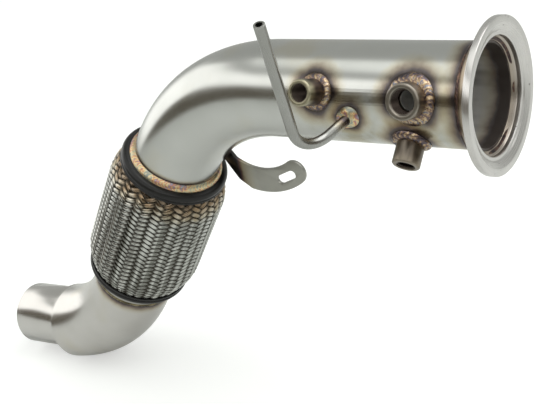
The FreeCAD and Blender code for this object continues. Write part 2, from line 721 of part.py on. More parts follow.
# Liner: interlocked hose between the two pipe ends, held in the necks, with a few laps
liner_radius = neck_bore - SLIP
liner_start = UPPER_NECK_START + PIPE_IN_NECK + END_GAP
liner_end = outlet_pipe_start - END_GAP
liner_outside = [(liner_radius, liner_start)]
lap_count = int((liner_end - liner_start) / LINER_LAP)
lap_pitch = (liner_end - liner_start) / lap_count
for lap in range(1, lap_count):
    station = liner_start + lap * lap_pitch
    liner_outside.append((liner_radius, station))
    liner_outside.append((liner_radius - LINER_LAP_DEPTH, station))
liner_outside.append((liner_radius, liner_end))
liner = turned(liner_outside + [
    (liner_radius - LINER_WALL, liner_end),
    (liner_radius - LINER_WALL, liner_start)], flex_frame)
save("liner_hose", liner)

# Outlet pipe
outlet_pipe = outlet_bar(0).cut(outlet_bar(PIPE_WALL))
save("outlet_pipe", outlet_pipe)
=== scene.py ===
# %% [markdown]
# # A turbo downpipe, dressed for the camera
# The real part is welded from stainless steel pipe: a machined inlet flange, a mandrel-bent pipe with three
# threaded sensor bosses and a thin pressure tube, a hanger tab, a braided flex joint and a lower bend that
# is swaged down to its outlet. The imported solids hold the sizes. Here each visible solid gets a finer mesh
# in the same place: rippled weld beads, cut threads, rolled edges and a braid of real woven bundles.

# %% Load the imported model
import math

import bmesh
import bpy
from mathutils import Euler, Matrix, Vector
from mathutils import noise as lattice


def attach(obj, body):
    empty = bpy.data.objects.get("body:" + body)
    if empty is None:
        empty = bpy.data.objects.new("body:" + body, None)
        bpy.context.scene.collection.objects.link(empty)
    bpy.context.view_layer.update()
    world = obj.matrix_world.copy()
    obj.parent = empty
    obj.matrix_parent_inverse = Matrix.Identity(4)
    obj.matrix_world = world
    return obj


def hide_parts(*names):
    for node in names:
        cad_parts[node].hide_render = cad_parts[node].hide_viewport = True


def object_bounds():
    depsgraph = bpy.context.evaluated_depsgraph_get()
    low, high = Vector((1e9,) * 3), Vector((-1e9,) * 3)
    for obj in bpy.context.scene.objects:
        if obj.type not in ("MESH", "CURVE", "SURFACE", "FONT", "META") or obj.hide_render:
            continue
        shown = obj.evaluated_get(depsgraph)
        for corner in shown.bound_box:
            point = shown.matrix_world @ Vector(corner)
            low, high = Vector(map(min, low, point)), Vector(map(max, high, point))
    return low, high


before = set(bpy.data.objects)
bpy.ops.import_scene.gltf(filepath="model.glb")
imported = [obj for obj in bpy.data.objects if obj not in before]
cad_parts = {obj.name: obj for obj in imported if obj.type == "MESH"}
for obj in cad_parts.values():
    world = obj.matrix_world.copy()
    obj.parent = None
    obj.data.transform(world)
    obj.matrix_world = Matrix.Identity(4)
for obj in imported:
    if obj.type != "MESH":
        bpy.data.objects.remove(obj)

cad_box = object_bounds()

# %% [markdown]
# ## The centre line
# Every piece is set out along one line: straight, a bend, the flex joint, a second bend and the outlet. The
# line is worked out once from the driving sizes, in metres, so that pieces which meet read the same points.

# %% Driving sizes in metres
PIPE_RADIUS = 0.0381
PIPE_WALL = 0.00165
PIPE_IN_FLANGE = 0.010
INLET_STRAIGHT = 0.184
BEND_RADIUS = 0.1524
INLET_BEND_ANGLE = math.radians(55.5)
PIPE_IN_NECK = 0.0195
OUTLET_BEND_ANGLE = math.radians(45.5)
OUTLET_RADIUS = 0.03175
OUTLET_TURN = math.radians(6.0)
OUTLET_RAISE = 0.003
OUTLET_STEP = 0.007
OUTLET_LENGTH = 0.0548

# Stations down the flex joint, from the end of the inlet pipe's bend
UPPER_CAP_START = 0.0055
UPPER_CAP_END = 0.015
LOWER_CAP_START = 0.147
LOWER_CAP_END = 0.1565
LOWER_NECK_END = 0.165
OUTLET_PIPE_START = 0.151
OUTLET_BEND_STATION = 0.1785

LEFT = Vector((-1, 0, 0))
DOWN = Vector((0, 0, -1))
ACROSS = Vector((0, 1, 0))


def after_bend(start, heading, towards, radius, angle):
    along = heading * math.sin(angle) + towards * (1 - math.cos(angle))
    return start + along * radius, heading * math.cos(angle) + towards * math.sin(angle)


bend_start = LEFT * INLET_STRAIGHT
flex_start, flex_heading = after_bend(bend_start, LEFT, DOWN, BEND_RADIUS, INLET_BEND_ANGLE)
flex_side = ACROSS.cross(flex_heading)
outlet_pipe_start = flex_start + flex_heading * OUTLET_PIPE_START
outlet_bend_start = flex_start + flex_heading * OUTLET_BEND_STATION
outlet_bend_end, end_heading = after_bend(
    outlet_bend_start, flex_heading, flex_side, BEND_RADIUS, OUTLET_BEND_ANGLE)
end_side = ACROSS.cross(end_heading)
outlet_heading = end_heading * math.cos(OUTLET_TURN) + end_side * math.sin(OUTLET_TURN)
outlet_start = outlet_bend_end + end_side * OUTLET_RAISE + outlet_heading * OUTLET_STEP
print("flex joint starts at", tuple(round(value, 4) for value in flex_start))
print("outlet starts at", tuple(round(value, 4) for value in outlet_start))


# %% [markdown]
# ## Standing a piece in its place
# A turned piece is easiest to shape about its own upright axis, so each one is made at the origin and then
# carried to its place in its mesh. The object itself stays at the origin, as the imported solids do.

# %% Placing helpers
def stand_at(origin, heading, across=ACROSS):
    beside = (across - heading * across.dot(heading)).normalized()
    turn = Matrix((beside, heading.cross(beside), heading)).transposed()
    return Matrix.Translation(origin) @ turn.to_4x4()


flange_place = stand_at(Vector((0, 0, 0)), LEFT)
flex_place = stand_at(flex_start, flex_heading)


def mesh_from(bm, name):
    bmesh.ops.recalc_face_normals(bm, faces=bm.faces)
    mesh = bpy.data.meshes.new(name)
    bm.to_mesh(mesh)
    bm.free()
    return mesh


def into_scene(name, data):
    item = bpy.data.objects.new(name, data)
    bpy.context.scene.collection.objects.link(item)
    return item


def settle(bm, name, finish, stands_for, sharp=38):
    present(mesh_from(bm, name), name, finish, stands_for, sharp)


def present(mesh, name, finish, stands_for, sharp):
    mesh.shade_smooth()
    mesh.set_sharp_from_angle(angle=math.radians(sharp))
    mesh.materials.clear()
    mesh.materials.append(finish.material)
    piece = into_scene(name, mesh)
    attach(piece, "root")
    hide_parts(*stands_for)
    mesh.calc_loop_triangles()
    print(name, len(mesh.loop_triangles), "triangles")


# %% [markdown]
# ## Shader maths as plain expressions
# Heat colours depend on how far a point lies from a weld, which takes a lot of arithmetic. A small class
# wraps a socket, so that an expression on it adds the Math nodes. A second class holds a node tree and adds
# any other node in one call: its settings first, then the values or links of its sockets.

# %% Field: one socket in an expression
class Field:
    def __init__(self, nodes, socket):
        self.nodes = nodes
        self.socket = socket

    def maths(self, operation, left, right):
        return self.nodes.add("ShaderNodeMath", {"operation": operation}, {0: left, 1: right})

    def __add__(self, other):
        return self.maths("ADD", self, other)

    def __radd__(self, other):
        return self.maths("ADD", other, self)

    def __sub__(self, other):
        return self.maths("SUBTRACT", self, other)

    def __rsub__(self, other):
        return self.maths("SUBTRACT", other, self)

    def __mul__(self, other):
        return self.maths("MULTIPLY", self, other)

    def __gt__(self, other):
        return self.maths("GREATER_THAN", self, other)


# %% Nodes: a tree that takes any node in one call
class Nodes:
    def __init__(self, tree):
        self.tree = tree
        self.tree.nodes.clear()

    def add(self, kind, settings=None, inputs=None, output=0):
        node = self.tree.nodes.new(kind)
        for name, value in (settings or {}).items():
            if name == "stops":
                self.fill_ramp(node.color_ramp, value)
            else:
                setattr(node, name, value)
        for name, value in (inputs or {}).items():
            if isinstance(value, Field):
                self.tree.links.new(value.socket, node.inputs[name])
            else:
                node.inputs[name].default_value = value
        if not node.outputs:
            return node
        return Field(self, node.outputs[output])

    def fill_ramp(self, ramp, stops):
        while len(ramp.elements) < len(stops):
            ramp.elements.new(1.0)
        for element, (place, colour) in zip(ramp.elements, stops):
            element.position = place
            element.color = colour if len(colour) == 4 else (*colour, 1.0)

    def other(self, field, output):
        return Field(self, field.socket.node.outputs[output])

    def mix(self, share, first, second):
        sockets = {0: share, 6: first, 7: second}
        return self.add("ShaderNodeMix", {"data_type": "RGBA"}, sockets, output=2)

    def smooth(self, value, low, high):
        sockets = {"Value": value, "From Min": low, "From Max": high}
        return self.add("ShaderNodeMapRange", {"interpolation_type": "SMOOTHSTEP"}, sockets)

    def vector(self, operation, first, second, output="Vector"):
        sockets = {0: first, 1: second}
        return self.add("ShaderNodeVectorMath", {"operation": operation}, sockets, output=output)

    def ramp(self, value, stops):
        return self.add("ShaderNodeValToRGB", {"stops": stops}, {"Fac": value})


# %% [markdown]
# ## Finishes
# A finish starts from Object coordinates, which are metres in the part's own frame, and ends in one
# Principled shader. Noise and a small bump come from the same coordinates, so nothing slides when the
# camera moves.

# %% The Finish class
class Finish(Nodes):
    def __init__(self, name):
        self.material = bpy.data.materials.new(name)
        self.material.use_nodes = True
        super().__init__(self.material.node_tree)
        self.place = self.add("ShaderNodeTexCoord", output="Object")

    def noise(self, scale, detail=3.0, rough=0.5, place=None):
        sockets = {"Vector": place or self.place, "Scale": scale, "Detail": detail, "Roughness": rough}
        return self.add("ShaderNodeTexNoise", {}, sockets)

    def stretched(self, centre, heading, squeeze):
        turn = stand_at(centre, heading).to_euler()
        sockets = {"Location": centre, "Rotation": turn, "Scale": (1, 1, 1)}
        local = self.add("ShaderNodeMapping", {"vector_type": "TEXTURE"}, {"Vector": self.place, **sockets})
        return self.add("ShaderNodeMapping", {}, {"Vector": local, "Scale": squeeze})

    def bump(self, height, distance, strength=1.0):
        sockets = {"Height": height, "Distance": distance, "Strength": strength}
        return self.add("ShaderNodeBump", {}, sockets)

    def attribute(self, name):
        return self.add("ShaderNodeAttribute", {"attribute_name": name}, output="Fac")

    def surface(self, **sockets):
        inputs = {name.replace("_", " "): value for name, value in sockets.items()}
        shader = self.add("ShaderNodeBsdfPrincipled", {}, inputs)
        self.add("ShaderNodeOutputMaterial", {}, {"Surface": shader})
        return self

    def away_from_line(self, point, heading):
        offset = self.vector("SUBTRACT", self.place, point)
        sideways = self.vector("CROSS_PRODUCT", offset, heading)
        outward = self.vector("DOT_PRODUCT", offset, heading, output="Value")
        return self.vector("LENGTH", sideways, (0, 0, 0), output="Value"), outward

    def along(self, point, heading):
        offset = self.vector("SUBTRACT", self.place, point)
        return self.vector("DOT_PRODUCT", offset, heading, output="Value")


# %% [markdown]
# ## Where the heat was
# Welding colours stainless steel in rings: dark brown and blue at the bead, then purple, bronze and a wide
# pale straw. Every bead on the pipe is a named place here, so the bead's mesh and the colour round it
# agree.

# %% Boss and tube places
class Boss:
    # place: how far back from the flange's face, turn: degrees up from the viewer's side,
    # sink: radius of the countersink at the mouth, bead: how far the bead reaches, ripples: its puddles
    def __init__(self, name, place, turn, height, radius, bore, sink, bead, ripples):
        self.name = name
        self.root = LEFT * place
        turn = math.radians(turn)
        self.heading = Vector((0, -math.cos(turn), math.sin(turn)))
        self.height = height
        self.radius = radius
        self.bore = bore
        self.sink = sink
        self.bead = bead
        self.ripples = ripples


BOSSES = [
    Boss("front", 0.0515, 16.5, 0.0122, 0.0130, 0.0082, 0.0097, 0.0060, 26),
    Boss("rear", 0.1290, 21.0, 0.0208, 0.0098, 0.0062, 0.0070, 0.0044, 20),
    Boss("lower", 0.0600, -42.0, 0.0182, 0.0102, 0.0062, 0.0070, 0.0046, 20)]
TUBE_RADIUS = 0.0040
tube_turn = math.radians(-7)
tube_exit = LEFT * 0.103 + Vector((0, -math.cos(tube_turn), math.sin(tube_turn))) * PIPE_RADIUS
tube_corner = tube_exit + Vector((-0.020, -0.0382, -0.0164))
tube_end = tube_exit + Vector((-0.003, -0.0762, 0.0976))
tube_heading = (tube_corner - tube_exit).normalized()
print("pressure tube leaves at", tuple(round(value, 4) for value in tube_exit))

# %% Heat colours, from the bead outwards
DARK_OXIDE = (0.050, 0.036, 0.030)
VIOLET = (0.075, 0.056, 0.060)
BROWN = (0.130, 0.085, 0.055)
BRONZE = (0.230, 0.160, 0.085)
STRAW = (0.400, 0.330, 0.190)
LOW_OLIVE_REFLECTION = (0.345, 0.310, 0.190)
PALE_STRAW = (0.560, 0.505, 0.360)
STEEL = (0.600, 0.590, 0.565)

HALO = [
    (0.00, (*DARK_OXIDE, 0.95)),
    (0.12, (*VIOLET, 0.90)),
    (0.22, (*BROWN, 0.80)),
    (0.36, (*BRONZE, 0.65)),
    (0.55, (*STRAW, 0.45)),
    (0.78, (*PALE_STRAW, 0.25)),
    (1.00, (*STEEL, 0.0))]


# %% [markdown]
# ## Polished pipe
# The pipe is satin stainless: a mirror blurred by a very fine polish that runs round it. The base colour is
# grey steel, clouded a little, and each weld lays its own halo over it. The halo's edge wanders with noise.
# The outlet's grey is painted lighter than the inlet's, a painted reflection of the brighter floor it faces.
# Near the inlet the lower side of the pipe is painted olive in patches, a painted reflection of the dark
# surroundings below it. The bore is streaked along the flow with dark soot and with pale streaks, a painted
# reflection of the light inside it. A painted image could hold all this, but distances from named places
# follow the part when a size changes.

# %% Halos, stains and the bore
def heat(finish, colour, distance, reach, mask=1.0):
    wander = finish.noise(110.0, 2.0) * 0.36 - 0.18
    share = distance * (1 / reach) + wander
    tint = finish.ramp(share, HALO)
    strength = finish.other(tint, "Alpha") * mask
    return finish.mix(strength, colour, tint)


LOW_OLIVE_FROM, LOW_OLIVE_TO = -0.165, -0.110
BORE_FROM, BORE_TO = 0.0368, 0.0374
TUBE_BEAD_EDGE = 0.0085


def inlet_halos_and_low_reflection(finish, colour):
    near_inlet = finish.smooth(finish.along((0, 0, 0), (1, 0, 0)), LOW_OLIVE_FROM, LOW_OLIVE_TO)
    low = 1.0 - finish.smooth(finish.along((0, 0, 0), (0, 0, 1)), -0.034, 0.020)
    patch = finish.smooth(finish.noise(34.0, 3.0, 0.6), 0.36, 0.62)
    # painted reflection: olive patches low on the pipe near the inlet stand in for the dark surroundings it
    # reflects
    colour = finish.mix(near_inlet * low * patch * 0.85, colour, (*LOW_OLIVE_REFLECTION, 1))
    for boss in BOSSES:
        away, outward = finish.away_from_line(boss.root, boss.heading)
        colour = heat(finish, colour, away - (boss.radius + boss.bead), 0.014, outward > 0)
    away, outward = finish.away_from_line(tube_exit, tube_heading)
    return heat(finish, colour, away - TUBE_BEAD_EDGE, 0.010, outward > -0.02)


def bore_soot_and_sheen(finish, colour):
    away, outward = finish.away_from_line((0, 0, 0), (1, 0, 0))
    straight = finish.smooth(outward, -INLET_STRAIGHT, 0.001 - INLET_STRAIGHT)
    inside = (1.0 - finish.smooth(away, BORE_FROM, BORE_TO)) * straight
    flow = finish.noise(1.0, 2.0, 0.6, finish.stretched(Vector((0, 0, 0)), LEFT, (55.0, 55.0, 7.0)))
    # painted reflection: the pale streaks stand in for light reflected along the bore; the dark streaks are
    # soot
    soot = finish.mix(finish.smooth(flow, 0.40, 0.62), (0.80, 0.79, 0.77, 1), (0.34, 0.33, 0.32, 1))
    return inside, finish.mix(inside * 0.9, colour, soot)


# %% Both pipes' steel
def pipe_finish(name, bright, dull, place, heading, rings, is_inlet):
    finish = Finish(name)
    cloud = finish.noise(28.0, 3.0)
    colour = finish.mix(cloud, bright, dull)
    stain = finish.smooth(finish.noise(17.0, 2.0), 0.52, 0.72)
    colour = finish.mix(stain * 0.35, colour, (*PALE_STRAW, 1))
    metal, dullness = 1.0, 0.0
    if is_inlet:
        colour = inlet_halos_and_low_reflection(finish, colour)
        inside, colour = bore_soot_and_sheen(finish, colour)
        metal, dullness = 1.0 - inside * 0.45, inside * 0.20
    for origin, ring_heading, reach in rings:
        colour = heat(finish, colour, finish.along(origin, ring_heading), reach)
    lines = finish.noise(1.0, 2.0, 0.6, finish.stretched(place, heading, (40.0, 40.0, 2600.0)))
    rough = 0.15 + cloud * 0.10 + lines * 0.05 + dullness
    return finish.surface(
        Base_Color=colour, Metallic=metal, Roughness=rough, Normal=finish.bump(lines, 0.00003, 0.35))


FLANGE_WELD_EDGE = 0.0175
LOWER_WELD_EDGE = 0.1705
inlet_finish = pipe_finish(
    "inlet pipe steel", (0.620, 0.625, 0.600, 1), (0.530, 0.537, 0.510, 1), Vector((0, 0, 0)), LEFT,
    [(LEFT * FLANGE_WELD_EDGE, LEFT, 0.016), (flex_start, -flex_heading, 0.006)], True)
# painted reflection: the outlet's steel is lighter than the inlet's to stand in for the brighter floor it
# reflects
outlet_finish = pipe_finish(
    "outlet pipe steel", (0.71, 0.695, 0.67, 1), (0.56, 0.54, 0.51, 1), outlet_start, outlet_heading,
    [(flex_start + flex_heading * LOWER_WELD_EDGE, flex_heading, 0.012)], False)
print("pipe steels", inlet_finish.material.name, "and", outlet_finish.material.name)


# %% [markdown]
# ## Weld metal
# A bead is a row of frozen puddles. Its colour changes from puddle to puddle, gold through copper and
# purple to blue, so a noise along the bead picks the colour, and each puddle's own phase, kept on the mesh,
# darkens its rim.

# %% Weld finishes
def weld_finish(name, stops, scale, grain, rough):
    finish = Finish(name)
    phase = finish.attribute("ripple")
    patch = finish.noise(scale, 4.0, 0.65)
    pick = patch + phase * 0.16 - 0.08
    colour = finish.ramp(finish.smooth(pick, 0.30, 0.72), stops)
    speck = finish.noise(grain, 3.0, 0.7)
    soot = finish.smooth(speck, 0.55, 0.75)
    colour = finish.mix(soot * 0.6, colour, (*DARK_OXIDE, 1))
    return finish.surface(
        Base_Color=colour, Metallic=1.0, Roughness=rough + speck * 0.2,
        Normal=finish.bump(speck, 0.00025, 0.5))


BOSS_WELD = [
    (0.00, (0.09, 0.08, 0.10)), (0.26, (0.15, 0.12, 0.125)), (0.46, (0.25, 0.17, 0.135)),
    (0.62, (0.46, 0.32, 0.19)), (0.74, (0.60, 0.50, 0.32)), (0.86, (0.26, 0.20, 0.22)),
    (1.00, (0.18, 0.21, 0.25))]
GOLD_WELD = [
    (0.00, (0.30, 0.33, 0.30)), (0.22, (0.60, 0.55, 0.38)), (0.45, (0.78, 0.62, 0.34)),
    (0.62, (0.66, 0.36, 0.18)), (0.78, (0.42, 0.22, 0.26)), (1.00, (0.36, 0.42, 0.44))]
DARK_WELD = [
    (0.00, (0.030, 0.024, 0.028)), (0.50, (0.085, 0.055, 0.050)), (1.00, (0.21, 0.13, 0.09))]
OLIVE_WELD = [
    (0.00, (0.060, 0.050, 0.030)), (0.50, (0.17, 0.14, 0.075)), (1.00, (0.36, 0.30, 0.18))]

# %% Four welds' colours
boss_weld_finish = weld_finish("boss weld colours", BOSS_WELD, 130.0, 900.0, 0.20)
gold_weld_finish = weld_finish("gold weld", GOLD_WELD, 95.0, 1500.0, 0.24)
dark_weld_finish = weld_finish("dark weld", DARK_WELD, 160.0, 1100.0, 0.26)
olive_weld_finish = weld_finish("olive weld", OLIVE_WELD, 120.0, 1100.0, 0.30)
print("materials so far", len(bpy.data.materials))


# %% [markdown]
# ## Machined flange
# The flange is turned on a lathe, so its marks are rings about the pipe's axis. A noise read at radius and
# station alone gives them, finer than any mesh could. Small pits break them, and the hub is browned by its
# two welds.

# %% Machined flange
def flange_finish():
    finish = Finish("machined flange")
    away, outward = finish.away_from_line((0, 0, 0), (1, 0, 0))
    rings = finish.add("ShaderNodeCombineXYZ", {}, {"X": away * 3500.0, "Y": outward * 3500.0})
    marks = finish.noise(1.0, 3.0, 0.6, rings)
    cloud = finish.noise(45.0, 3.0)
    colour = finish.mix(cloud, (0.75, 0.728, 0.705, 1), (0.58, 0.567, 0.550, 1))
    pits = finish.smooth(finish.noise(420.0, 1.0), 0.74, 0.78)
    colour = finish.mix(pits * 0.8, colour, (0.06, 0.05, 0.05, 1))
    hub = finish.smooth(outward * -1.0, 0.0065, 0.0150)
    inner = 1.0 - finish.smooth(away, 0.0440, 0.0475)
    colour = finish.mix(hub * 0.75, colour, (*BRONZE, 1))
    colour = finish.mix(inner * finish.smooth(outward * -1.0, 0.0030, 0.0085) * 0.55, colour, (*BRONZE, 1))
    height = marks + pits * -2.0
    return finish.surface(
        Base_Color=colour, Metallic=1.0, Roughness=0.20 + marks * 0.16,
        Normal=finish.bump(height, 0.00004, 0.5))


machined_finish = flange_finish()
print("flange steel", machined_finish.material.name)


# %% [markdown]
# ## Boss steel
# The bosses are turned from bar. The weld browns them from the foot upwards, the mouth stays cleaner, and
# the bore is dark with oxide. Height and distance from the boss's own axis tell these places apart.

# %% Boss finishes
def boss_finish(boss, face, side):
    finish = Finish(boss.name + " boss steel")
    away, outward = finish.away_from_line(boss.root, boss.heading)
    height = outward - PIPE_RADIUS
    burnt = 1.0 - finish.smooth(height, boss.height * 0.55, boss.height - 0.0006)
    streaks = finish.noise(1.0, 3.0, 0.6, finish.stretched(boss.root, boss.heading, (500.0, 500.0, 60.0)))
    inside = 1.0 - finish.smooth(away, boss.bore + 0.0002, boss.bore + 0.0012)
    worn = finish.mix(streaks, side, (side[0] * 2.5, side[1] * 2.4, side[2] * 2.25, 1))
    dull_face = (face[0] * 0.72, face[1] * 0.70, face[2] * 0.66, 1)
    colour = finish.mix(finish.noise(220.0, 3.0), face, dull_face)
    colour = finish.mix(burnt, colour, worn)
    colour = finish.mix(inside, colour, (0.045, 0.034, 0.029, 1))
    return finish.surface(
        Base_Color=colour, Metallic=1.0, Roughness=0.26 + streaks * 0.14,
        Normal=finish.bump(streaks, 0.00005, 0.5))


FACES = {"front": (0.34, 0.31, 0.27, 1), "rear": (0.46, 0.43, 0.31, 1), "lower": (0.30, 0.26, 0.21, 1)}
SIDES = {
    "front": (0.145, 0.128, 0.112, 1), "rear": (0.068, 0.055, 0.048, 1), "lower": (0.100, 0.087, 0.074, 1)}
boss_finishes = {boss.name: boss_finish(boss, FACES[boss.name], SIDES[boss.name]) for boss in BOSSES}
print("boss steels", sorted(boss_finishes))


# %% [markdown]
# ## Tube, tab and hidden steel
# These are plain steel with fine marks: drawn along the tube, and without a direction on the sheet tab and
# on the sleeves inside. The tube is browned at its foot. The tab is painted black on its folded leg, a
# painted shade for the dark it reflects, and from the fold it goes through purple to straw, the heat tint
# of its weld.

# %% Plain marked steel
def marked_steel(name, bright, dull, grain, drawn_along=None):
    finish = Finish(name)
    place = finish.stretched(*drawn_along, (900.0, 900.0, 45.0)) if drawn_along else None
    marks = finish.noise(grain, 3.0, 0.6, place)
    return finish, finish.mix(finish.noise(70.0, 3.0), bright, dull), marks


def satin(finish, colour, marks, rough, depth):
    return finish.surface(
        Base_Color=colour, Metallic=1.0, Roughness=rough + marks * 0.12,
        Normal=finish.bump(marks, depth, 0.4))


# %% Tube, tab and inner steel
def tube_finish():
    finish, colour, marks = marked_steel(
        "pressure tube steel", (0.42, 0.42, 0.40, 1), (0.31, 0.31, 0.29, 1), 1.0,
        (tube_corner, (tube_end - tube_corner).normalized()))
    colour = heat(finish, colour, finish.along(tube_exit, tube_heading) - 0.0030, 0.013)
    return satin(finish, colour, marks, 0.22, 0.00003)


TAB_FOLD = Vector((-0.264, 0, 0))


def tab_finish():
    finish, colour, marks = marked_steel(
        "bracket sheet", (0.40, 0.395, 0.36, 1), (0.32, 0.315, 0.28, 1), 600.0)
    wander = finish.noise(260.0, 2.0) * 0.06 - 0.03
    share = finish.along(TAB_FOLD, Vector((1, 0, 0))) * (1 / 0.030) + (0.30 + wander)
    # black on the folded leg is painted shade; purple to straw past the fold is the weld's heat tint
    dark_to_straw = finish.ramp(share, [
        (0.00, (0.022, 0.019, 0.020, 0.96)), (0.30, (0.030, 0.026, 0.028, 0.94)),
        (0.36, (0.055, 0.040, 0.055, 0.90)), (0.42, (0.16, 0.080, 0.070, 0.85)),
        (0.50, (*STRAW, 0.60)), (0.75, (*PALE_STRAW, 0.25)), (1.00, (*STEEL, 0.0))])
    colour = finish.mix(finish.other(dark_to_straw, "Alpha"), colour, dark_to_straw)
    return satin(finish, colour, marks, 0.30, 0.00004)


tube_steel = tube_finish()
tab_steel = tab_finish()
inner_steel = satin(
    *marked_steel("inner steel", (0.48, 0.47, 0.44, 1), (0.38, 0.37, 0.34, 1), 500.0), 0.32, 0.00004)
print("plain steels", [finish.material.name for finish in (tube_steel, tab_steel, inner_steel)])


# %% [markdown]
# ## Black caps and bright wire
# The caps are blacked and satin, a little worn to brown. The braid is bright drawn wire, scorched under the
# upper cap. It is darker in some columns than in others, a painted shade for floats that don't catch the
# light, and painted dark where a bundle dives under its neighbour, a painted shade for that gap. That
# depth is known when the bundles are made, so the mesh keeps it as an attribute and the finish reads it.

# %% Black caps
def cap_finish():
    finish = Finish("black cap")
    grain = finish.noise(900.0, 3.0)
    worn = finish.smooth(finish.noise(60.0, 4.0, 0.6), 0.58, 0.80)
    colour = finish.mix(worn * 0.5, (0.010, 0.0095, 0.009, 1), (0.040, 0.034, 0.030, 1))
    return finish.surface(
        Base_Color=colour, Metallic=0.0, Roughness=0.24 + grain * 0.12, Specular_IOR_Level=0.35,
        Normal=finish.bump(grain, 0.00008, 0.4))


black_cap = cap_finish()
print("cap finish", black_cap.material.name)


# %% Braid wire
def wire_finish():
    finish = Finish("braid wire")
    colour = finish.mix(finish.noise(90.0, 2.0), (0.76, 0.77, 0.73, 1), (0.42, 0.425, 0.395, 1))
    streaks = finish.noise(1.0, 2.0, 0.6, finish.stretched(flex_start, flex_heading, (150.0, 150.0, 9.0)))
    # painted shade: dark streaks down some columns stand in for floats that don't catch the light
    colour = finish.mix(finish.smooth(streaks, 0.42, 0.58) * 0.75, colour, (0.17, 0.172, 0.15, 1))
    below_cap = finish.along(flex_start, flex_heading) - UPPER_CAP_END
    dark_to_straw = finish.ramp(below_cap * (1 / 0.030) + finish.noise(110.0, 3.0, 0.6) * 0.7 - 0.35, [
        (0.00, (0.085, 0.052, 0.032, 0.92)), (0.25, (0.30, 0.19, 0.09, 0.75)),
        (0.50, (0.50, 0.40, 0.24, 0.45)), (0.85, (*STEEL, 0.0))])
    colour = finish.mix(finish.other(dark_to_straw, "Alpha"), colour, dark_to_straw)
    # painted shade: the wire darkens where its bundle is tucked under a neighbour and towards its edges
    painted_tuck_shade = finish.smooth(finish.attribute("depth"), 0.08, 0.50)
    colour = finish.mix(painted_tuck_shade * 0.95, colour, (0.040, 0.034, 0.025, 1))
    scuffs = finish.noise(1800.0, 2.0)
    return finish.surface(
        Base_Color=colour, Metallic=1.0, Roughness=0.07 + scuffs * 0.10,
        Normal=finish.bump(scuffs, 0.00003, 0.4))


braid_wire = wire_finish()
print("finishes", len(bpy.data.materials))


# %% [markdown]
# ## The two pipes
# A pipe could be a bevelled curve, but its wall and its swaged end want real control. So a circle of
# vertices is run along the centre line: extruded down each straight, spun round each bend, and carried
# through small steps where the end is swaged. The outside and the bore are two such skins. Each end of the
# outside then steps in to the bore's own ring, and the two are merged.

# %% Running a ring of vertices along a route
PIPE_SEGMENTS = 96
BEND_STEPS = 44


def ring_edges(verts):
    ring = set(verts)
    return [edge for vert in ring for edge in vert.link_edges if edge.other_vert(vert) in ring]


def open_ring(bm, radius, place, segments):
    verts = bmesh.ops.create_circle(bm, segments=segments, radius=radius)["verts"]
    bmesh.ops.transform(bm, matrix=place, verts=verts)
    return verts


def run_straight(bm, verts, step):
    grown = bmesh.ops.extrude_edge_only(bm, edges=list(set(ring_edges(verts))))["geom"]
    verts = [item for item in grown if isinstance(item, bmesh.types.BMVert)]
    bmesh.ops.translate(bm, verts=verts, vec=step)
    return verts


def run_bend(bm, verts, start, heading, towards, radius, angle, steps):
    grown = bmesh.ops.spin(
        bm, geom=verts + list(set(ring_edges(verts))), cent=start + towards * radius,
        axis=heading.cross(towards), dvec=(0, 0, 0), angle=angle, steps=steps, use_duplicate=False)
    return [item for item in grown["geom_last"] if isinstance(item, bmesh.types.BMVert)]


def run_step(bm, verts, old_place, new_place, scale):
    verts = run_straight(bm, verts, Vector((0, 0, 0)))
    change = new_place @ Matrix.Scale(scale, 4) @ old_place.inverted()
    bmesh.ops.transform(bm, matrix=change, verts=verts)
    return verts


# %% Closing a pipe's ends and rounding its edges
def close_wall(bm, ends, share):
    for verts, centre in ends:
        lip = run_straight(bm, verts, Vector((0, 0, 0)))
        bmesh.ops.scale(bm, vec=(share, share, share), space=Matrix.Translation(-centre), verts=lip)
    bmesh.ops.remove_doubles(bm, verts=bm.verts, dist=0.000002)


def soften(bm, offset, angle, segments=2):
    edges = []
    for edge in bm.edges:
        if len(edge.link_faces) == 2 and edge.calc_face_angle(0) > math.radians(angle):
            edges.append(edge)
    bmesh.ops.bevel(
        bm, geom=edges, offset=offset, offset_type="OFFSET", segments=segments, profile=0.5,
        affect="EDGES", material=-1, clamp_overlap=True)


# %% [markdown]
# ## The inlet pipe
# It is bent first and drilled afterwards, under each boss and the tube, and so it is here. The drills are
# plain cylinders cut away with Boolean modifiers, and the finished mesh is taken from the evaluated object,
# so that no live modifier is left on it. Each drill is a little smaller than the boss's bore, so that the
# pipe's own edge shows at the bottom of the hole.

# %% Drills
def cutter(place, radius, height):
    bm = bmesh.new()
    bmesh.ops.create_cone(
        bm, cap_ends=True, segments=64, radius1=radius, radius2=radius, depth=height,
        matrix=place @ Matrix.Translation((0, 0, height / 2)))
    return into_scene("cutter", mesh_from(bm, "cutter"))


def drilled(mesh, tools):
    blank = into_scene("blank", mesh)
    for tool in tools:
        cut = blank.modifiers.new("hole", "BOOLEAN")
        cut.operation = "DIFFERENCE"
        cut.solver = "EXACT"
        cut.object = tool
    graph = bpy.context.evaluated_depsgraph_get()
    result = bpy.data.meshes.new_from_object(blank.evaluated_get(graph))
    for item in [blank] + tools:
        bpy.data.objects.remove(item)
    return result


# %% Inlet pipe
def inlet_skin(bm, radius):
    start = LEFT * PIPE_IN_FLANGE
    first = open_ring(bm, radius, stand_at(start, LEFT), PIPE_SEGMENTS)
    verts = run_straight(bm, first, LEFT * (INLET_STRAIGHT - PIPE_IN_FLANGE))
    verts = run_bend(bm, verts, bend_start, LEFT, DOWN, BEND_RADIUS, INLET_BEND_ANGLE, BEND_STEPS)
    return first, run_straight(bm, verts, flex_heading * PIPE_IN_NECK)


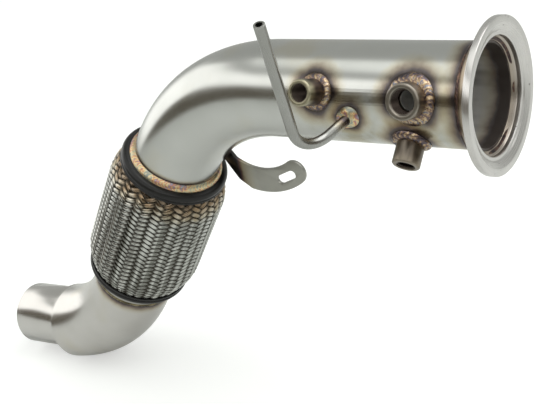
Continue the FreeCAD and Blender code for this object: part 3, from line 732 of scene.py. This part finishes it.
DRILL_SEAT = 0.0004
DRILL_LENGTH = 0.06
TUBE_DRILL_BACK = 0.008
bm = bmesh.new()
inlet_skin(bm, PIPE_RADIUS - PIPE_WALL)
first, last = inlet_skin(bm, PIPE_RADIUS)
inlet_end = flex_start + flex_heading * PIPE_IN_NECK
close_wall(bm, [(first, LEFT * PIPE_IN_FLANGE), (last, inlet_end)], 1 - PIPE_WALL / PIPE_RADIUS)
pipe_mesh = mesh_from(bm, "inlet_pipe_blank")
tools = [cutter(stand_at(boss.root, boss.heading), boss.bore - DRILL_SEAT, DRILL_LENGTH) for boss in BOSSES]
tube_drill_start = tube_exit - tube_heading * TUBE_DRILL_BACK
tools.append(cutter(stand_at(tube_drill_start, tube_heading), TUBE_RADIUS, 2 * TUBE_DRILL_BACK))
present(drilled(pipe_mesh, tools), "polished_inlet_pipe", inlet_finish, ["inlet_pipe"], 38)


# %% [markdown]
# ## The outlet pipe
# The lower bend is swaged: its end is squeezed down to a smaller pipe, which leaves a soft step a little
# off the bend's line. The ring is carried through that step in small moves, each scaled and turned by an
# eased share.

# %% Outlet pipe with its swaged end
SWAGE_STEPS = 12


def outlet_skin(bm, inset):
    first = open_ring(bm, PIPE_RADIUS - inset, stand_at(outlet_pipe_start, flex_heading), PIPE_SEGMENTS)
    verts = run_straight(bm, first, outlet_bend_start - outlet_pipe_start)
    verts = run_bend(
        bm, verts, outlet_bend_start, flex_heading, flex_side, BEND_RADIUS, OUTLET_BEND_ANGLE, BEND_STEPS)
    place = stand_at(outlet_bend_end, end_heading)
    radius = PIPE_RADIUS - inset
    for step in range(1, SWAGE_STEPS + 1):
        share = step / SWAGE_STEPS
        eased = share * share * (3 - 2 * share)
        centre = outlet_bend_end.lerp(outlet_start, share)
        new_place = stand_at(centre, end_heading.lerp(outlet_heading, share).normalized())
        new_radius = PIPE_RADIUS + (OUTLET_RADIUS - PIPE_RADIUS) * eased - inset
        verts = run_step(bm, verts, place, new_place, new_radius / radius)
        place = new_place
        radius = new_radius
    return first, run_straight(bm, verts, outlet_heading * OUTLET_LENGTH)


bm = bmesh.new()
outlet_skin(bm, PIPE_WALL)
first, last = outlet_skin(bm, 0)
outlet_end = outlet_start + outlet_heading * OUTLET_LENGTH
close_wall(bm, [(first, outlet_pipe_start)], 1 - PIPE_WALL / PIPE_RADIUS)
close_wall(bm, [(last, outlet_end)], 1 - PIPE_WALL / OUTLET_RADIUS)
soften(bm, 0.0003, 50)
settle(bm, "swaged_outlet_pipe", outlet_finish, ["outlet_pipe"])


# %% [markdown]
# ## Turned rings
# The flange, the pressed caps and the ring beads are all round about one axis. Each is a closed outline, a
# few points of radius and station with curved stretches from a formula, spun once round and merged. The
# outline is what a lathe or a press would follow, and a stack of cylinders would lose its dish, groove and
# rolled edge.

# %% Outlines and spinning
def curve(start, end, bulge, steps):
    start = Vector(start)
    end = Vector(end)
    along = end - start
    out = Vector((-along.y, along.x)).normalized()
    points = []
    for step in range(steps + 1):
        share = step / steps
        points.append(start + along * share + out * (4 * bulge * share * (1 - share)))
    return points


def closed_loop(bm, outline):
    verts = [bm.verts.new((point[0], 0, point[1])) for point in outline]
    edges = [bm.edges.new((verts[index - 1], verts[index])) for index in range(len(verts))]
    return verts, edges


def spin_round(bm, verts, edges, steps):
    bmesh.ops.spin(
        bm, geom=verts + edges, cent=(0, 0, 0), axis=(0, 0, 1), dvec=(0, 0, 0), angle=2 * math.pi,
        steps=steps, use_merge=True, use_duplicate=False)


def spin_helix(bm, verts, edges, steps, angle, rise):
    grown = bmesh.ops.spin(
        bm, geom=verts + edges, cent=(0, 0, 0), axis=(0, 0, 1), dvec=(0, 0, rise), angle=angle,
        steps=steps, use_duplicate=False)
    last = [item for item in grown["geom_last"] if isinstance(item, bmesh.types.BMEdge)]
    bmesh.ops.contextual_create(bm, geom=edges)
    bmesh.ops.contextual_create(bm, geom=last)


# %% Inlet flange
flange_outline = [
    (0.0555, 0.0), (0.0555, 0.0050), *curve((0.0440, 0.00919), (0.0404, 0.0150), -0.0008, 6),
    (0.0382, 0.0150), (0.0382, 0.0100), (0.0420, 0.0070), (0.0420, 0.0035), (0.0446, 0.0035),
    (0.0456, 0.0025), (0.0505, 0.0)]
bm = bmesh.new()
spin_round(bm, *closed_loop(bm, flange_outline), 160)
soften(bm, 0.0004, 14, 3)
bmesh.ops.transform(bm, matrix=flange_place, verts=bm.verts)
settle(bm, "turned_inlet_flange", machined_finish, ["inlet_flange"], 30)

# %% Pressed caps of the flex joint
cap_outline = [
    (0.0405, 0.0), (0.0418, 0.0), *curve((0.0422, 0.0002), (0.0480, 0.0045), -0.0016, 10),
    (0.0480, 0.0058), *curve((0.0479, 0.0061), (0.0479, 0.0079), 0.0007, 6),
    (0.0480, 0.0082), (0.0480, 0.0092), (0.0477, 0.0095), (0.0466, 0.0095), (0.0465, 0.0053),
    (0.0405, 0.0015)]


def pressed_cap(name, base, way, stands_for):
    bm = bmesh.new()
    spin_round(bm, *closed_loop(bm, cap_outline), 144)
    flip = Matrix.Diagonal((1, 1, way, 1))
    place = flex_place @ Matrix.Translation((0, 0, base)) @ flip
    bmesh.ops.transform(bm, matrix=place, verts=bm.verts)
    settle(bm, name, black_cap, [stands_for])


pressed_cap("pressed_upper_cap", UPPER_CAP_START, 1, "upper_flex_cap")
pressed_cap("pressed_lower_cap", LOWER_CAP_END, -1, "lower_flex_cap")


# %% [markdown]
# ## Weld beads
# A bead could be a smooth ring with a bump map, but its ripples catch the light at the edge, so they are
# real. The bead's face is a low arch. Its points know how far across they lie, and each is lifted by where
# it falls in a crescent-shaped puddle. A slow noise moves the two feet, because no bead is laid quite
# straight.

# %% A bead's arch, spun round
ARCH_POINTS = 12


def lay_bead(bm, foot, other_foot, corner, rise, steps):
    across = bm.verts.layers.float.new("across")
    arch = curve(foot, other_foot, rise, ARCH_POINTS)
    verts, edges = closed_loop(bm, arch + [Vector(corner)])
    for index, vert in enumerate(verts):
        vert[across] = index / ARCH_POINTS if index <= ARCH_POINTS else -1
    spin_round(bm, verts, edges, steps)
    bmesh.ops.recalc_face_normals(bm, faces=bm.faces)


# %% Puddles along a bead
def ripple_bead(bm, count, depth, wander, seed):
    across = bm.verts.layers.float["across"]
    phase_of = bm.verts.layers.float.new("ripple")
    bm.normal_update()
    lifts = []
    for vert in bm.verts:
        share = vert[across]
        if share < 0:
            continue
        turn = math.atan2(vert.co.y, vert.co.x) / (2 * math.pi)
        uneven = 0.35 * lattice.noise(vert.co * 160 + Vector((seed, 0, 0)))
        phase = (turn * count + 0.9 * (2 * share - 1) ** 2 + uneven) % 1
        vert[phase_of] = phase
        arch = 4 * share * (1 - share)
        puddle = math.sqrt(1 - phase) * min(phase * 6, 1)
        drift = lattice.noise(vert.co * 90 + Vector((0, seed, 0)))
        lifts.append((vert, arch * (puddle * depth + drift * wander * 0.6), drift * wander * (1 - arch)))
    for vert, lift, slide in lifts:
        vert.co += vert.normal * lift + Vector((0, 0, slide))


# %% Ring beads round the pipe
def ring_bead(name, place, foot, other_foot, corner, rise, count, depth, wander, finish, stands_for):
    bm = bmesh.new()
    lay_bead(bm, foot, other_foot, corner, rise, count * 6)
    ripple_bead(bm, count, depth, wander, len(name))
    bmesh.ops.transform(bm, matrix=place, verts=bm.verts)
    settle(bm, name, finish, [stands_for], 60)


SINK = 0.0002
ring_bead(
    "rippled_flange_weld", flange_place, (PIPE_RADIUS - SINK, 0.0183), (0.0404, 0.0149),
    (PIPE_RADIUS - SINK, 0.0149), 0.0006, 76, 0.0002, 0.0003, dark_weld_finish, "flange_weld")
ring_bead(
    "ragged_root_weld", flange_place, (0.0371, 0.0101), (0.0403, 0.0082), (0.0382, 0.0101), 0.0006, 60,
    0.0003, 0.0006, dark_weld_finish, "flange_root_weld")
ring_bead(
    "gold_upper_flex_weld", flex_place, (PIPE_RADIUS - SINK, 0.0003), (0.0419, 0.0054),
    (PIPE_RADIUS - SINK, 0.0054), -0.0006, 78, 0.00025, 0.0003, gold_weld_finish,
    "upper_flex_weld")
ring_bead(
    "olive_lower_flex_weld", flex_place, (PIPE_RADIUS - SINK, 0.1702), (0.0397, LOWER_NECK_END),
    (PIPE_RADIUS - SINK, LOWER_NECK_END), 0.0006, 70, 0.0003, 0.0006, olive_weld_finish,
    "lower_flex_weld")


# %% [markdown]
# ## Pieces that sit on the pipe
# A boss, its bead and the tube's bead stand on a curved wall. They are spun on a flat floor first, and then
# each point near the floor slides along the boss's own axis until that floor is the pipe's outside. Sliding
# keeps the rings round, where shrinking them on to the pipe would pull them oval.

# %% Seating on the pipe
def to_pipe(foot, heading):
    steep = heading.y ** 2 + heading.z ** 2
    half = foot.y * heading.y + foot.z * heading.z
    rest = foot.y ** 2 + foot.z ** 2 - PIPE_RADIUS ** 2
    return (math.sqrt(max(half * half - steep * rest, 0)) - half) / steep


def seat_on_pipe(bm, place, fixed_above):
    heading = place.to_3x3().col[2]
    level = to_pipe(place.translation, heading)
    for vert in bm.verts:
        foot = place @ Vector((vert.co.x, vert.co.y, 0))
        surface = to_pipe(foot, heading)
        hug = 1 if vert.co.z < fixed_above else 0
        vert.co = foot + heading * (vert.co.z + level + (surface - level) * hug)


# %% [markdown]
# ## Threads
# A sensor screws in, so each bore has a real thread. Rings would look like one until the mouth, where a
# thread starts at a single point. So a small trapezoid is spun with a rise per step, which makes the helix,
# and its two ends are closed.

# %% Cutting a thread
THREAD_PITCH = 0.0015
THREAD_DEPTH = 0.0008
THREAD_STEPS = 48


def cut_thread(bm, bore, low, high):
    flank = THREAD_PITCH * 0.42
    crest = THREAD_PITCH * 0.08
    root = bore + THREAD_DEPTH + 0.00005
    section = [(root, low - flank), (root, low + flank), (bore, low + crest), (bore, low - crest)]
    steps = int((high - low) / THREAD_PITCH * THREAD_STEPS)
    angle = steps * 2 * math.pi / THREAD_STEPS
    spin_helix(bm, *closed_loop(bm, section), steps, angle, THREAD_PITCH / THREAD_STEPS)


# %% Sensor bosses and their beads
def make_boss(boss):
    cut = boss.bore + THREAD_DEPTH
    lip = min(boss.sink + 0.0002, boss.radius - 0.0015)
    top = boss.height
    outline = [
        (cut, 0), (cut, top - (lip - cut) * 1.2), (lip, top), (boss.radius - 0.0009, top),
        (boss.radius, top - 0.0009), (boss.radius, 0)]
    bm = bmesh.new()
    spin_round(bm, *closed_loop(bm, outline), 96)
    soften(bm, 0.00025, 30)
    cut_thread(bm, boss.bore, 0.0012, top - (lip - cut) * 1.2 - 0.0003)
    seat_on_pipe(bm, stand_at(boss.root, boss.heading, LEFT), 0.0004)
    settle(
        bm, boss.name + "_threaded_boss", boss_finishes[boss.name],
        [boss.name + "_sensor_boss"], 30)


def bead_round(name, place, radius, reach, rise, bulge, count, wander, finish, stands_for):
    bm = bmesh.new()
    lay_bead(bm, (radius, rise), (radius + reach, 0), (radius, 0), bulge, count * 8)
    ripple_bead(bm, count, PUDDLE_DEPTH, wander, len(name) + count)
    seat_on_pipe(bm, place, 1)
    settle(bm, name, finish, [stands_for], 60)


BEAD_THICKNESS = 0.0032
PUDDLE_DEPTH = 0.0006
for boss in BOSSES:
    make_boss(boss)
    bead_round(
        boss.name + "_rippled_bead", stand_at(boss.root, boss.heading, LEFT), boss.radius - SINK, boss.bead,
        BEAD_THICKNESS, 0.0009, boss.ripples, 0.0005, boss_weld_finish,
        boss.name + "_boss_weld")


# %% [markdown]
# ## Pressure tube and hanger tab
# The tube is run like the pipes: straight, one bend, straight. The hanger tab is a cut and folded sheet
# whose solid is already right, so a merged copy of it only gets the small round edge that a punched sheet
# has. The weld behind it and the sleeves inside the flex joint hardly show, so these solids stay and only
# take a finish.

# %% Pressure tube
TUBE_BORE = 0.0026
TUBE_BEND = 0.024
TUBE_BEAD = 0.0044
tube_root = tube_exit - tube_heading * PIPE_WALL
tube_rise = (tube_end - tube_corner).normalized()
tube_angle = tube_heading.angle(tube_rise)
tube_tangent = TUBE_BEND * math.tan(tube_angle / 2)
tube_side = (tube_rise - tube_heading * tube_heading.dot(tube_rise)).normalized()


def tube_skin(bm, radius):
    first = open_ring(bm, radius, stand_at(tube_root, tube_heading), 40)
    leg = (tube_corner - tube_root).length - tube_tangent
    verts = run_straight(bm, first, tube_heading * leg)
    verts = run_bend(
        bm, verts, tube_root + tube_heading * leg, tube_heading, tube_side, TUBE_BEND, tube_angle, 32)
    return first, run_straight(bm, verts, tube_end - tube_corner - tube_rise * tube_tangent)


bm = bmesh.new()
tube_skin(bm, TUBE_BORE)
first, last = tube_skin(bm, TUBE_RADIUS)
close_wall(bm, [(first, tube_root), (last, tube_end)], TUBE_BORE / TUBE_RADIUS)
soften(bm, 0.0002, 50)
settle(bm, "bent_pressure_tube", tube_steel, ["pressure_tube"])
bead_round(
    "lumpy_tube_bead", stand_at(tube_exit, tube_heading, LEFT), TUBE_RADIUS - SINK, TUBE_BEAD, 0.0034,
    0.0006, 6, 0.0012, gold_weld_finish, "pressure_tube_weld")


# %% Hanger tab
bm = bmesh.new()
bm.from_mesh(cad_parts["hanger_bracket"].data)
bmesh.ops.remove_doubles(bm, verts=bm.verts, dist=0.000005)
bmesh.ops.dissolve_limit(bm, angle_limit=math.radians(1.0), verts=bm.verts, edges=bm.edges)
soften(bm, 0.00035, 40)
settle(bm, "punched_hanger_tab", tab_steel, ["hanger_bracket"], 30)

# %% Finishes for the solids that stay
kept_solids = {
    "bracket_weld": dark_weld_finish, "upper_neck": inner_steel, "lower_neck": inner_steel,
    "bellows": inner_steel, "liner_hose": inner_steel}
for node, finish in kept_solids.items():
    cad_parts[node].data.materials.clear()
    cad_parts[node].data.materials.append(finish.material)
print("dressed solids", sorted(kept_solids))


# %% [markdown]
# ## The woven braid
# The sleeve is braided from flat bundles of wires, 36 running one way round and 36 the other, each over two
# and under two. Seen from outside that gives upright columns whose floats lean left and right in turn. One
# bundle is a ribbed ribbon spun round the axis with a rise per step, which makes a helix. Its points are
# then pushed in and out by a wave. The wave's phase leans with the crossing bundle, so the ribbons tuck
# under one another cleanly. A picture of a weave on a tube would be lighter, but its edge would be smooth
# and its gaps wouldn't be dark.

# %% Braid sizes
COLUMNS = 36
COLUMN_TURN = 2 * math.pi / COLUMNS
FLOAT_RISE = 0.0053
RIBBON_WIDTH = 0.0050
WIRES = 6
WIRE_THICKNESS = 0.00048
WIRE_RELIEF = 0.00020
BUNDLE_ARCH = 0.00090
WAVE = 0.00075
TUCKED_RADIUS = 0.0464
BELLY_RADIUS = 0.0532
TAPER = 0.024
COLUMN_STEPS = 6
BRAID_FROM = 0.0112
BRAID_TO = 0.1508


def braid_radius(station):
    inside = min(station - UPPER_CAP_END, LOWER_CAP_START - station)
    rise = min(max(inside / TAPER, 0), 1)
    return TUCKED_RADIUS + (BELLY_RADIUS - TUCKED_RADIUS) * math.sin(rise * math.pi / 2)


# %% The section of one ribbon
def ribbon_section():
    half = WIRE_THICKNESS / 2
    pitch = RIBBON_WIDTH / WIRES
    points = [(half - WIRE_RELIEF, -RIBBON_WIDTH / 2)]
    for wire in range(WIRES):
        foot = wire * pitch - RIBBON_WIDTH / 2
        points.append((half, foot + pitch / 2))
        points.append((half - WIRE_RELIEF, foot + pitch))
    points.append((-half, RIBBON_WIDTH / 2))
    points.append((-half, -RIBBON_WIDTH / 2))
    outline = []
    for height, offset in points:
        drop = BUNDLE_ARCH * (2 * offset / RIBBON_WIDTH) ** 2
        outline.append((1 + height - drop, BRAID_FROM + offset))
    return outline


# %% A helix bent into a wave
def wave_vertex(vert, hand, first_column, column_rise, tuck_shade_share):
    swept = (hand * math.atan2(vert.co.y, vert.co.x) + 0.01) % (2 * math.pi) - 0.01
    height = math.hypot(vert.co.x, vert.co.y) - 1
    centre = BRAID_FROM + swept / COLUMN_TURN * column_rise
    inside = min(centre - UPPER_CAP_END, LOWER_CAP_START - centre) / TAPER
    pinch = 0.82 + 0.18 * min(max(inside, 0), 1)
    offset = (vert.co.z - centre) * pinch
    station = centre + offset
    column = first_column + hand * swept / COLUMN_TURN
    wave = hand * math.sin(math.pi * (column + hand * offset / (2 * column_rise)))
    radius = braid_radius(station) - WAVE - WIRE_THICKNESS / 2 + height + WAVE * wave
    turn = column * COLUMN_TURN
    vert.co = Vector((radius * math.cos(turn), radius * math.sin(turn), station))
    # painted shade: how far a point is tucked under, and how near the ribbon's edge, sets its darkening
    vert[tuck_shade_share] = min((1 - wave) / 2 + 0.4 * (2 * offset / RIBBON_WIDTH) ** 4, 1)


# %% Both hands of the weave
def weave(name, hand, first_turn, finish):
    bm = bmesh.new()
    # the depth attribute carries the painted shade of tucked bundles
    tuck_shade_share = bm.verts.layers.float.new("depth")
    length = BRAID_TO - BRAID_FROM
    steps = int(length / FLOAT_RISE * COLUMN_STEPS)
    angle = hand * steps * COLUMN_TURN / COLUMN_STEPS
    rise = length / steps
    done = 0
    for column in (first_turn, first_turn + 1):
        spin_helix(bm, *closed_loop(bm, ribbon_section()), steps, angle, rise)
        bm.verts.ensure_lookup_table()
        for vert in bm.verts[done:]:
            wave_vertex(vert, hand, column, rise * COLUMN_STEPS, tuck_shade_share)
        done = len(bm.verts)
    pair = bm.verts[:] + bm.edges[:] + bm.faces[:]
    for copy in range(1, COLUMNS // 2):
        grown = bmesh.ops.duplicate(bm, geom=pair)["geom"]
        verts = [item for item in grown if isinstance(item, bmesh.types.BMVert)]
        turn = Matrix.Rotation(2 * copy * COLUMN_TURN, 3, "Z")
        bmesh.ops.rotate(bm, verts=verts, cent=(0, 0, 0), matrix=turn)
    bmesh.ops.transform(bm, matrix=flex_place, verts=bm.verts)
    settle(bm, name, finish, ["braid_sleeve"], 60)


weave("braid_bundles_leaning_left", 1, 0, braid_wire)
weave("braid_bundles_leaning_right", -1, 0.5, braid_wire)


# %% [markdown]
# ## The room that the steel reflects
# Polished steel shows the room more than itself. This room has a soft light straight overhead, a long
# bright window that stands low on the left and climbs towards the front, a dark gap below it in front, and
# pale paper all round. Separate lamps would leave hard spots on the pipe. Here the world holds the room as
# a soft function of direction: each light is a mask from 0 to 1, made of smooth steps in left, back and up.

# %% Directions in the room
scene = bpy.context.scene
world = bpy.data.worlds.new("studio")
scene.world = world
world.use_nodes = True
room = Nodes(world.node_tree)
direction = room.add("ShaderNodeTexCoord", output="Generated")
right = room.add("ShaderNodeSeparateXYZ", {}, {"Vector": direction})
left = 0 - right
back = room.other(right, "Y")
up = room.other(right, "Z")
front = 0 - back

# %% Masks for the overhead light, the window and the dark gap
overhead = room.smooth(up, 0.75, 0.83) * (1 - room.smooth(back, -0.03, 0.16))
sill = room.smooth(front, 0.0, 0.46) * 0.50 - 0.16
lintel = up + room.smooth(back, 0.0, 0.5) * 0.3
window = room.smooth(up - sill, -0.03, 0.07) * (1 - room.smooth(lintel, 0.60, 0.68))
window = window * (1 - room.smooth(back, 0.25, 0.55))
reach = 1 - (1 - room.smooth(left, 0.20, 0.55)) * (1 - room.smooth(front, 0.10, 0.35))
below = room.smooth(up, -0.45, -0.14) * (1 - room.smooth(up, 0.30, 0.37))
gap = below * room.smooth(front, 0.03, 0.30)

# %% World
PAPER = (0.46, 0.47, 0.45, 1)
DARK_GAP = (0.11, 0.095, 0.070, 1)
OVERHEAD_LIGHT = (1.30, 1.32, 1.28, 1)
WINDOW_LIGHT = (1.62, 1.62, 1.58, 1)
shade = room.mix(gap, PAPER, DARK_GAP)
shade = room.mix(window * reach, shade, WINDOW_LIGHT)
shade = room.mix(overhead, shade, OVERHEAD_LIGHT)
camera_ray = room.add("ShaderNodeLightPath", output="Is Camera Ray")
shade = room.mix(camera_ray, shade, (1, 1, 1, 1))
backdrop = room.add("ShaderNodeBackground", {}, {"Color": shade, "Strength": 1.0})
room.add("ShaderNodeOutputWorld", {}, {"Surface": backdrop})
print("world nodes", len(world.node_tree.nodes))

# %% [markdown]
# ## Lamp, floor and camera
# The world's light comes from everywhere, so its shadow is faint. One wide lamp, above and a little behind,
# deepens it. The floor is pale paper, and a little glow that the camera sees brings it to white without
# more light on the part. A smaller share of that glow goes to mirror rays, so that the steel shows pale
# paper too.

# %% Wide lamp
lamp_data = bpy.data.lights.new("wide_lamp", "AREA")
lamp_data.shape = "RECTANGLE"
lamp_data.size = 1.4
lamp_data.size_y = 0.9
lamp_data.energy = 8.0
lamp = into_scene("wide_lamp", lamp_data)
lamp.location = (0.35, 0.35, 1.05)
lamp.rotation_euler = (math.radians(-18), math.radians(28), 0)
print("lamp", lamp_data.energy, "W at", tuple(round(value, 2) for value in lamp.location))

# %% Floor
FLOOR_HALF = 4.0
FLOOR_GAP = 0.0002
floor_level = min(corner[2] for corner in cad_box) - FLOOR_GAP
bm = bmesh.new()
bmesh.ops.create_grid(bm, x_segments=1, y_segments=1, size=FLOOR_HALF)
bmesh.ops.translate(bm, verts=bm.verts, vec=(0, 0, floor_level))
floor_mesh = mesh_from(bm, "paper_floor")
floor = into_scene("paper_floor", floor_mesh)
print("floor at", round(floor_level, 4))

# %% Floor paper
paper_material = bpy.data.materials.new("paper floor")
paper_material.use_nodes = True
paper = Nodes(paper_material.node_tree)
matt = paper.add("ShaderNodeBsdfDiffuse", {}, {"Color": (0.70, 0.715, 0.70, 1)})
camera_share = paper.add("ShaderNodeLightPath", output="Is Camera Ray") * 0.44
mirror_share = paper.add("ShaderNodeLightPath", output="Is Glossy Ray") * 0.05
sockets = {"Color": (1, 1, 1, 1), "Strength": camera_share + mirror_share}
glow = paper.add("ShaderNodeEmission", {}, sockets)
both = paper.add("ShaderNodeAddShader", {}, {0: matt, 1: glow})
paper.add("ShaderNodeOutputMaterial", {}, {"Surface": both})
floor_mesh.materials.append(paper_material)
print("floor finish", paper_material.name)

# %% Camera
camera_data = bpy.data.cameras.new("camera")
camera_data.sensor_width = 36.0
camera_data.lens = 69.78
camera = into_scene("camera", camera_data)
camera.location = (0.289939, -0.633153, 0.279786)
camera.rotation_euler = Euler([math.radians(angle) for angle in (64.08871, 11.27092, 33.15613)])
scene.camera = camera
scene.view_settings.view_transform = "Standard"
print("camera lens", camera_data.lens, "mm")

# %% Sizes for the record
print("cad box", [[round(value, 4) for value in corner] for corner in cad_box])
